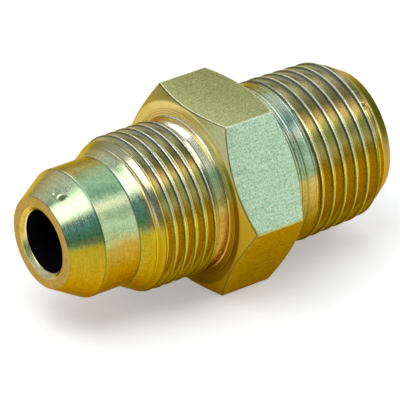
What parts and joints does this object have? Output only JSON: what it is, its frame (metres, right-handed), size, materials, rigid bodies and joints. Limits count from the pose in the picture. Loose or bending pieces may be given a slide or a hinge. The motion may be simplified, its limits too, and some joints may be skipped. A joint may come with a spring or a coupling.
{
  "type": "flare fitting",
  "caption": "Straight male flare fitting: conical flare seat with straight thread, wrench hexagon, taper pipe thread, drilled through.",
  "frame": {"origin": "on the axis of the bore, halfway along the fitting", "axes": "+X along the axis from the flare nose to the pipe end, +Z square to a wrench flat, so the fitting lies on the opposite flat"},
  "size_m": [0.0474, 0.0278, 0.024],
  "materials": {
    "turned_zinc": "turned steel with a yellow chromate zinc plating",
    "thread_zinc": "cut thread with a yellow chromate zinc plating",
    "bar_zinc": "drawn hexagon bar surface with a yellow-green chromate zinc plating"
  },
  "bodies": {
    "root": {"flare_seat": "turned_zinc", "nose_neck": "turned_zinc", "flare_thread": "thread_zinc", "thread_land": "turned_zinc", "wrench_hex": "bar_zinc", "pipe_collar": "turned_zinc", "pipe_thread": "thread_zinc"}
  },
  "joints": []
}
